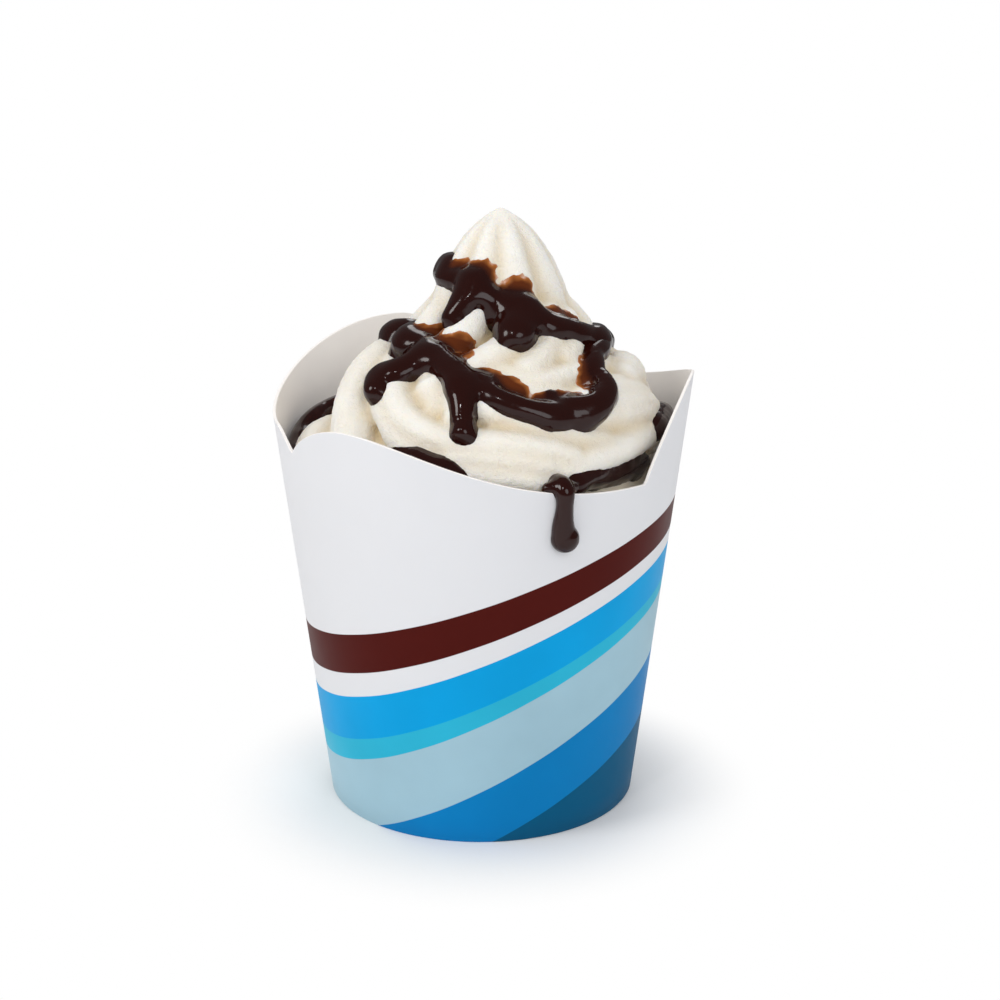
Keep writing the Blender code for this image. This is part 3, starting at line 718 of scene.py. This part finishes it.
class SUNDAE_OT_cup_wall(bpy.types.Operator):
    """Make the cup's wall: one sheet of board, folded in at the foot, its rim cut into three flaps"""
    bl_idname = "sundae.cup_wall"
    bl_label = "Cup wall"

    def execute(self, context):
        cup = context.scene.sundae_cup
        fold = 2.0 * (cup.paper + CLEARANCE)
        rows = np.linspace(NOMINAL_RIM, cup.foot_fold, 16)
        profile = [(wall_radius(cup, z), z) for z in rows]
        profile += [(wall_radius(cup, 0.4 * MM), 0.4 * MM), (cup.base_radius - 0.25 * MM, 0.0)]
        profile += [
            (cup.base_radius - cup.paper - fold, 0.0),
            (wall_radius(cup, cup.foot_fold) - cup.paper - fold, cup.foot_fold),
            (wall_radius(cup, cup.foot_fold) - fold, cup.foot_fold),
            (wall_radius(cup, cup.paper) - fold, cup.paper),
            (wall_radius(cup, cup.paper) - cup.paper, cup.paper),
        ]
        profile += [(wall_radius(cup, z) - cup.paper, z) for z in reversed(rows)]
        wall = turned("cup_wall_board", profile, 480, closed=True)
        for vertex in wall.data.vertices:
            x, y, z = vertex.co
            if z < cup.foot_fold:
                continue
            angle = math.degrees(math.atan2(x, -y))
            share = (z - cup.foot_fold) / (NOMINAL_RIM - cup.foot_fold)
            height = cup.foot_fold + (rim_height(angle) - cup.foot_fold) * share
            inset = wall_radius(cup, z) - math.hypot(x, y)
            vertex.co = around(angle, wall_radius(cup, height) - inset, height)
        printed = printed_board(cup)
        plain = plain_board(cup)
        wall.data.materials.append(printed)
        wall.data.materials.append(plain)
        for face in wall.data.polygons:
            outward = face.normal.x * face.center.x + face.normal.y * face.center.y
            face.material_index = 0 if outward > 0.3 * face.center.xy.length else 1
        wall.data.set_sharp_from_angle(angle=math.radians(40.0))
        round_edge = wall.modifiers.new("Cut edge", "BEVEL")
        round_edge.width = 0.12 * MM
        round_edge.segments = 2
        round_edge.limit_method = "ANGLE"
        round_edge.angle_limit = math.radians(60.0)
        round_edge.material = 1
        wall = settled(wall, "cup_wall_board")
        finished(wall, "cup_wall", "board", printed, plain)
        return {"FINISHED"}


class SUNDAE_OT_cup_base(bpy.types.Operator):
    """Make the cup's base: a disc with its skirt turned down inside the wall's folded foot"""
    bl_idname = "sundae.cup_base"
    bl_label = "Cup base"

    def execute(self, context):
        cup = context.scene.sundae_cup
        skirt_top = wall_radius(cup, cup.base_level) - cup.paper - CLEARANCE
        skirt_foot = wall_radius(cup, cup.paper) - cup.paper - CLEARANCE
        bend = 0.5 * MM
        profile = (
            (0.0, cup.base_level + cup.paper),
            (skirt_top - bend, cup.base_level + cup.paper),
            (skirt_top, cup.base_level + cup.paper - bend),
            (skirt_foot, cup.paper + CLEARANCE),
            (skirt_foot - cup.paper, cup.paper + CLEARANCE),
            (skirt_top - cup.paper, cup.base_level - bend),
            (skirt_top - cup.paper - bend, cup.base_level),
            (0.0, cup.base_level),
        )
        base = turned("cup_base_board", profile, 240)
        base.data.set_sharp_from_angle(angle=math.radians(50.0))
        finished(base, "cup_base", "board", plain_board(cup))
        return {"FINISHED"}


def crest_radius(height_mm):
    """The radius in mm that the swirl's crests reach at a height in mm."""
    heights, radii = zip(*reversed(OUTLINE))
    return float(np.interp(height_mm, heights, radii))


def strand(cream, crest_points):
    """A piped strand under (angle, height, crest radius, half thickness) points, in degrees and mm."""
    made = []
    for angle, height_mm, crest_mm, half in smooth_path(crest_points):
        height = height_mm * MM
        made.append((around(angle, (crest_mm - half) * MM, height, lean_at(cream, height)), half * MM))
    return tube(made)


def flute_points(angle, gap):
    """One flute of the top cone, from the peak down to its foot."""
    points = []
    for height, crest in ((116.2, 0.9), (114.4, 3.3), (111.3, 6.7), (107, 9.8), (102, 12.4), (97, 14.2)):
        points.append((angle, height, crest, min(0.42 * crest * math.radians(gap), 4.2) + 0.3))
    return points


def middle_points(top_angle, top_height, foot_angle, foot_height, half):
    """One slanting fold of the middle turn, which leans over more and more towards its foot."""
    points = []
    for share in (0.0, 0.3, 0.65, 1.0):
        height = top_height + (foot_height - top_height) * share
        angle = top_angle + (foot_angle - top_angle) * share**1.3
        points.append((angle, height, crest_radius(height) + 0.7, half * (0.8 + 0.3 * share)))
    return points


def lower_points(half, proud, route):
    """One fold of the lowest turn, a little thinner towards its ends."""
    points = []
    for i, (angle, height) in enumerate(route):
        share = i / (len(route) - 1)
        size = half * (0.72 + 0.28 * math.sin(share * math.pi) ** 0.5)
        points.append((angle, height, crest_radius(height) + proud, size))
    return points


def swirl_pieces(cream):
    """The swirl's core and every piped fold, as overlapping closed shapes."""
    profile = [(0.0, 115.6 * MM)]
    for height, radius in OUTLINE[1:]:
        sunk = 2.2 + 2.2 * float(smooth_step((112.0 - height) / 14.0))
        profile.append((max(radius - sunk, 0.6) * MM, height * MM))
    profile += [(38.4 * MM, 62.0 * MM), (38.4 * MM, 40.0 * MM), (0.0, 40.0 * MM)]
    core = turned("core", profile, 96)
    for vertex in core.data.vertices:
        vertex.co.x += lean_at(cream, vertex.co.z)
    pieces = [core]
    for i, angle in enumerate(FLUTE_ANGLES):
        before = FLUTE_ANGLES[i - 1]
        after = FLUTE_ANGLES[(i + 1) % len(FLUTE_ANGLES)]
        pieces += strand(cream, flute_points(angle, ((after - before) % 360) / 2.0))
    for fold in MIDDLE_FOLDS:
        pieces += strand(cream, middle_points(*fold))
    for half, proud, route in LOWER_FOLDS.values():
        pieces += strand(cream, lower_points(half, proud, route))
    return pieces


def carried_to_base(obj, level, floor_radius, floor):
    """Cuts a mesh off flat at a level and carries its side down to the base, closed underneath."""
    work = bmesh.new()
    work.from_mesh(obj.data)
    everything = work.verts[:] + work.edges[:] + work.faces[:]
    bmesh.ops.bisect_plane(work, geom=everything, plane_co=(0, 0, level), plane_no=(0, 0, -1),
                           clear_outer=True)
    rim = [edge for edge in work.edges if edge.is_boundary]
    grown = bmesh.ops.extrude_edge_only(work, edges=rim)["geom"]
    for vertex in (v for v in grown if isinstance(v, bmesh.types.BMVert)):
        reach = math.hypot(vertex.co.x, vertex.co.y)
        vertex.co.x *= floor_radius / reach
        vertex.co.y *= floor_radius / reach
        vertex.co.z = floor
    bmesh.ops.holes_fill(work, edges=[edge for edge in work.edges if edge.is_boundary])
    bmesh.ops.recalc_face_normals(work, faces=work.faces)
    work.to_mesh(obj.data)
    work.free()


class SUNDAE_OT_ice_cream(bpy.types.Operator):
    """Make the soft serve: the filling and the piped swirl in three turns"""
    bl_idname = "sundae.ice_cream"
    bl_label = "Ice cream"

    def execute(self, context):
        cup = context.scene.sundae_cup
        cream = context.scene.sundae_cream
        swirl = fused(joined(swirl_pieces(cream), "soft_serve"), cream.voxel, cream.softening)
        mesh = swirl.data
        places, normals = coordinates(mesh)
        pairs = edge_pairs(mesh)
        # How deep each place lies in a fold, against a smoothed copy: the mask of the cream's painted shade
        broad = relaxed(places, pairs, BROAD_PASSES)
        hollow = np.einsum("ij,ij->i", broad - places, normals) / MM
        lumps = unevenness(places, LUMP_SIZE, (0, 0, 0))
        pores = unevenness(places, PORE_SIZE, (0, 0, 0))
        places += normals * ((LUMP_HEIGHT * lumps + PORE_HEIGHT * pores) * MM)[:, None]
        places = held_inside(cup, places, 0.02 * MM)
        mesh.vertices.foreach_set("co", places.ravel())
        # Kept for the material's painted shade in the folds
        store(mesh, "hollow", relaxed(hollow, pairs, 3)[:, 0])
        floor = cup.base_level + cup.paper + 0.1 * MM
        inside = wall_radius(cup, floor) - cup.paper - 0.1 * MM
        carried_to_base(swirl, cream.fill_level - 8.0 * MM, inside, floor)
        mesh.shade_smooth()
        finished(swirl, "ice_cream", "vanilla", vanilla(cream))
        return {"FINISHED"}


def stroke_samples(cream, stroke, tree, per_span=9):
    """Places on the cream along a stroke of sauce, with half widths and thicknesses in metres."""
    spots = []
    for angle, height_mm, half, thick in smooth_path(stroke, per_span):
        height = height_mm * MM
        centre = Vector((lean_at(cream, height), 0.0, height))
        outside = around(angle, 60.0 * MM, height, lean_at(cream, height))
        place, _, _, _ = tree.ray_cast(outside, (centre - outside).normalized())
        if place is None:
            raise RuntimeError(f"The sauce at {angle:.0f} degrees and {height_mm:.0f} mm misses the cream")
        spots.append((*place, half * MM, thick * MM))
    spots = np.array(spots)
    for _ in range(3):
        spots[1:-1] = 0.25 * spots[:-2] + 0.5 * spots[1:-1] + 0.25 * spots[2:]
    return spots


def layer_thickness(places, samples, wander, roundness):
    """How thick one stroke lies at each place: a dome or a slope across it, and below zero outside it."""
    thickness = np.full(len(places), -1.0)
    for x, y, z, half, thick in samples:
        reach = np.linalg.norm(places - (x, y, z), axis=1) / (half * wander)
        near = reach < 2.0
        dome = np.clip(1.0 - reach[near] ** 2.4, 0.0, 1.0) ** roundness * thick
        skirt = np.where(reach[near] > 1.0, (1.0 - reach[near]) * half, 0.0)
        thickness[near] = np.maximum(thickness[near], dome + skirt)
    return thickness


def blended(layers, softness):
    """The largest of several thicknesses at each place, with soft fillets where two meet."""
    layers = np.stack(layers) / softness
    top = layers.max(0)
    return softness * (top + np.log(np.exp(np.clip(layers - top, -30.0, 0.0)).sum(0)))


def sauce_skin(name, mesh, places, normals, pairs, thickness, amber, cup):
    """A closed layer of sauce over the part of the cream that the thickness covers, with sunk edges."""
    kept = thickness > -SAUCE_SUNK
    faces = [tuple(face.vertices) for face in mesh.polygons if all(kept[i] for i in face.vertices)]
    used = np.unique(np.concatenate([np.array(face) for face in faces]))
    index = np.full(len(places), -1)
    index[used] = np.arange(len(used))
    depth = thickness[used]
    inner = index[pairs]
    inner = inner[(inner >= 0).all(1)]
    under = places[used]
    outward = relaxed(normals[used], inner, 24)
    outward /= np.linalg.norm(outward, axis=1)[:, None]
    calm = smooth_step(depth / (1.4 * MM))
    over = relaxed(under, inner, 40, calm) + outward * depth[:, None]
    over = relaxed(over, inner, 14, smooth_step((depth + 0.1 * MM) / (1.0 * MM)))
    over = held_inside(cup, over, 0.03 * MM)
    base = under - outward * (SAUCE_SUNK + 0.2 * MM)
    count = len(used)
    skin = [tuple(index[list(face)]) for face in faces]
    sides = {}
    for face in skin:
        for a, b in zip(face, face[1:] + face[:1]):
            sides[(a, b)] = True
    rim = [(a, b) for a, b in sides if (b, a) not in sides]
    made = list(skin)
    made += [tuple(int(i) + count for i in reversed(face)) for face in skin]
    made += [(b, a, a + count, b + count) for a, b in rim]
    shape = bpy.data.meshes.new(name)
    shape.from_pydata(np.vstack([over, base]).tolist(), [], [[int(i) for i in face] for face in made])
    shape.update()
    store(shape, "depth", np.concatenate([depth, depth]) / MM)
    store(shape, "amber", np.concatenate([amber[used], amber[used]]))
    shape.shade_smooth()
    return object_of(name, shape)


class SUNDAE_OT_sauce(bpy.types.Operator):
    """Make the runs, drips and pools of chocolate sauce that lie on the ice cream"""
    bl_idname = "sundae.sauce"
    bl_label = "Sauce"

    def execute(self, context):
        swirl = bpy.data.objects.get("soft_serve")
        if swirl is None:
            raise RuntimeError("The sauce needs the ice cream: make that first")
        cup = context.scene.sundae_cup
        cream = context.scene.sundae_cream
        sauce = context.scene.sundae_sauce
        tree = BVHTree.FromObject(swirl, context.evaluated_depsgraph_get())
        mesh = swirl.data
        places, normals = coordinates(mesh)
        pairs = edge_pairs(mesh)
        slow = unevenness(places, SAUCE_LUMPS, (7, 3, 1))
        quick = unevenness(places, SAUCE_RIPPLES, (2, 9, 4))
        finish = chocolate(sauce, cream)
        for name, strokes in SAUCE.items():
            calm = 1.0 + sauce.edge_wander * slow
            layers = []
            for stroke in strokes:
                layers.append(layer_thickness(places, stroke_samples(cream, stroke, tree), calm, 0.5))
            rough = 1.0 + 1.6 * sauce.edge_wander * slow + 2.4 * sauce.edge_wander * quick
            films = []
            for stroke in FILM.get(name, ()):
                filmed = [(*row, sauce.film / MM) for row in stroke]
                films.append(layer_thickness(places, stroke_samples(cream, filmed, tree), rough, 1.2))
            thickness = blended(layers, 0.35 * MM)
            amber = 1.0 - smooth_step((thickness + 1.3 * MM) / (1.7 * MM))
            if films:
                film = np.max(films, 0)
                amber *= smooth_step((film + 0.5 * MM) / (0.5 * MM))
                thickness = np.maximum(thickness, film)
            else:
                amber[:] = 0.0
            run = sauce_skin(name + "_run", mesh, places, normals, pairs, thickness, amber, cup)
            finer = run.modifiers.new("Finer", "SUBSURF")
            finer.levels = finer.render_levels = 1
            run = settled(run, name + "_run")
            finished(run, name, "chocolate", finish)
        return {"FINISHED"}


class SUNDAE_OT_drip(bpy.types.Operator):
    """Make the drip that has run over the front of the rim and hangs down the wall"""
    bl_idname = "sundae.drip"
    bl_label = "Drip over the rim"

    def execute(self, context):
        cup = context.scene.sundae_cup
        finish = bpy.data.materials.get("chocolate_sauce")
        if finish is None:
            raise RuntimeError("The drip needs the sauce's material: make the sauce first")
        angle = 21.5
        foot = 59.2 * MM
        neck = 1.6 * MM
        bulb = 2.65 * MM
        rim = rim_height(angle)
        outside = wall_radius(cup, rim)
        spots = [
            (*around(angle, outside - 3.0 * MM, rim + 1.2 * MM), 1.9 * MM),
            (*around(angle, outside - 0.8 * MM, rim + 1.3 * MM), 1.8 * MM),
            (*around(angle, outside + 0.4 * MM, rim + 0.1 * MM), 1.8 * MM),
            (*around(angle, outside + 0.3 * MM, rim - 2.5 * MM), neck),
            (*around(angle, wall_radius(cup, rim - 6.0 * MM) + 0.5 * MM, rim - 6.0 * MM), neck + 0.5 * MM),
            (*around(angle + 0.8, wall_radius(cup, foot) + 0.5 * MM, foot + 1.2 * MM), bulb),
        ]
        pieces = tube([(Vector(row[:3]), row[3]) for row in smooth_path(spots)])
        for side, radius in ((-3.8, 1.2), (-1.9, 1.6), (1.9, 1.6), (3.6, 1.1)):
            pieces.append(bead(around(angle + side, outside - 1.2 * MM, rim + 0.8 * MM), radius * MM))
        drip = fused(joined(pieces, "rim_drip"), 0.35 * MM, 5)
        store(drip.data, "depth", np.full(len(drip.data.vertices), 1.5))
        store(drip.data, "amber", np.zeros(len(drip.data.vertices)))
        drip.data.shade_smooth()
        finished(drip, "sauce_drip", "chocolate", finish)
        return {"FINISHED"}


# ---------------------------------------------------------------- stage

def floor_material(stage):
    """Pale floor that takes the shadow near the cup and fades to plain white further out."""
    made, tree, shader = bare_material("pale_floor")
    with_values(shader, Base_Color=(*stage.floor, 1.0), Roughness=0.85, Specular_IOR_Level=0.0,
                Emission_Color=(1.0, 1.0, 1.0, 1.0))
    path = tree.nodes.new("ShaderNodeLightPath")
    lift = calculated(tree, "MULTIPLY", path.outputs["Is Camera Ray"], stage.floor_lift)
    linked(tree, lift, shader.inputs["Emission Strength"])

    place = tree.nodes.new("ShaderNodeTexCoord")
    reach = node(tree, "ShaderNodeVectorMath", operation="LENGTH")
    linked(tree, place.outputs["Object"], reach.inputs[0])
    far = ranged(tree, reach.outputs["Value"], interpolation_type="SMOOTHSTEP", From_Min=stage.fade_start,
                 From_Max=stage.fade_end)
    fade = calculated(tree, "MULTIPLY", far, path.outputs["Is Camera Ray"])
    white = node(tree, "ShaderNodeEmission", Color=(1.0, 1.0, 1.0, 1.0), Strength=1.0)
    both = tree.nodes.new("ShaderNodeMixShader")
    linked(tree, fade, both.inputs["Fac"])
    linked(tree, shader.outputs["BSDF"], both.inputs[1])
    linked(tree, white.outputs["Emission"], both.inputs[2])
    linked(tree, both.outputs["Shader"], tree.nodes["Material Output"].inputs["Surface"])
    return made


def studio_light(scene, stage):
    """Even white light from all round, weaker in reflections and plain white behind the object."""
    world = bpy.data.worlds.new("studio")
    scene.world = world
    world.use_nodes = True
    tree = world.node_tree
    back = tree.nodes["Background"]
    path = tree.nodes.new("ShaderNodeLightPath")
    back.inputs["Color"].default_value = (1.0, 1.0, 1.0, 1.0)
    shine = ranged(tree, path.outputs["Is Glossy Ray"], To_Min=stage.world_level, To_Max=stage.shine_level)
    level = node(tree, "ShaderNodeMapRange", To_Max=1.0)
    linked(tree, shine, level.inputs["To Min"])
    linked(tree, path.outputs["Is Camera Ray"], level.inputs["Value"])
    linked(tree, level.outputs["Result"], back.inputs["Strength"])


def lamp(name, place, target, size, power, colour):
    """A round area lamp that faces a target."""
    data = bpy.data.lights.new(name, "AREA")
    data.shape = "DISK"
    data.size = size
    data.energy = power
    data.color = colour
    made = bpy.data.objects.new(name, data)
    bpy.context.scene.collection.objects.link(made)
    made.location = place
    made.rotation_euler = (Vector(target) - Vector(place)).to_track_quat("-Z", "Y").to_euler()


class SUNDAE_OT_stage(bpy.types.Operator):
    """Make the floor, the soft studio light and the camera"""
    bl_idname = "sundae.stage"
    bl_label = "Stage"

    def execute(self, context):
        stage = context.scene.sundae_stage
        scene = context.scene
        mesh = bpy.data.meshes.new("floor")
        work = bmesh.new()
        bmesh.ops.create_circle(work, cap_ends=True, segments=96, radius=3.0)
        work.to_mesh(mesh)
        work.free()
        floor = object_of("floor", mesh)
        mesh.materials.append(floor_material(stage))
        studio_light(scene, stage)
        middle = (0.0, 0.0, 0.07)
        lamp("key", (-0.48, -0.24, 0.42), middle, 0.24, stage.key_power, (1.0, 0.985, 0.96))
        lamp("glint", (-0.20, -0.42, 0.50), middle, 0.045, stage.glint_power, (1.0, 1.0, 1.0))
        lamp("fill", (0.24, -0.62, 0.36), middle, 0.4, stage.fill_power, (0.97, 0.985, 1.0))
        lamp("rear", (0.10, 0.55, 0.50), middle, 0.4, stage.rear_power, (1.0, 1.0, 1.0))

        data = bpy.data.cameras.new("camera")
        data.lens = stage.lens
        data.sensor_width = SENSOR_WIDTH
        data.clip_start = 0.01
        camera = bpy.data.objects.new("camera", data)
        scene.collection.objects.link(camera)
        camera.location = (0.0, -stage.camera_distance, stage.camera_height)
        camera.rotation_euler = (math.radians(90.0) - stage.camera_tilt, 0.0, -stage.camera_turn)
        scene.camera = camera
        scene.view_settings.view_transform = "Standard"
        return {"FINISHED"}


# ---------------------------------------------------------------- add-on

class SUNDAE_PT_panel(bpy.types.Panel):
    """Lists the sundae's settings and the operators that make its pieces"""
    bl_label = "Sundae"
    bl_idname = "SUNDAE_PT_panel"
    bl_space_type = "VIEW_3D"
    bl_region_type = "UI"
    bl_category = "Sundae"

    def draw(self, context):
        layout = self.layout
        for operator in OPERATORS:
            layout.operator(operator.bl_idname)
        for settings in (context.scene.sundae_cup, context.scene.sundae_cream, context.scene.sundae_sauce,
                         context.scene.sundae_stage):
            box = layout.box()
            for name in settings.__annotations__:
                box.prop(settings, name)


SETTINGS = {
    "sundae_cup": SundaeCup,
    "sundae_cream": SundaeCream,
    "sundae_sauce": SundaeSauce,
    "sundae_stage": SundaeStage,
}
OPERATORS = (SUNDAE_OT_cup_wall, SUNDAE_OT_cup_base, SUNDAE_OT_ice_cream, SUNDAE_OT_sauce, SUNDAE_OT_drip,
             SUNDAE_OT_stage)


def register():
    for kind in (*SETTINGS.values(), *OPERATORS, SUNDAE_PT_panel):
        bpy.utils.register_class(kind)
    for name, kind in SETTINGS.items():
        setattr(bpy.types.Scene, name, PointerProperty(type=kind))


def unregister():
    for name in SETTINGS:
        delattr(bpy.types.Scene, name)
    for kind in (SUNDAE_PT_panel, *reversed(OPERATORS), *SETTINGS.values()):
        bpy.utils.unregister_class(kind)


def main():
    register()
    bpy.ops.sundae.cup_wall()
    bpy.ops.sundae.cup_base()
    bpy.ops.sundae.ice_cream()
    bpy.ops.sundae.sauce()
    bpy.ops.sundae.drip()
    bpy.ops.sundae.stage()


if __name__ == "__main__":
    main()
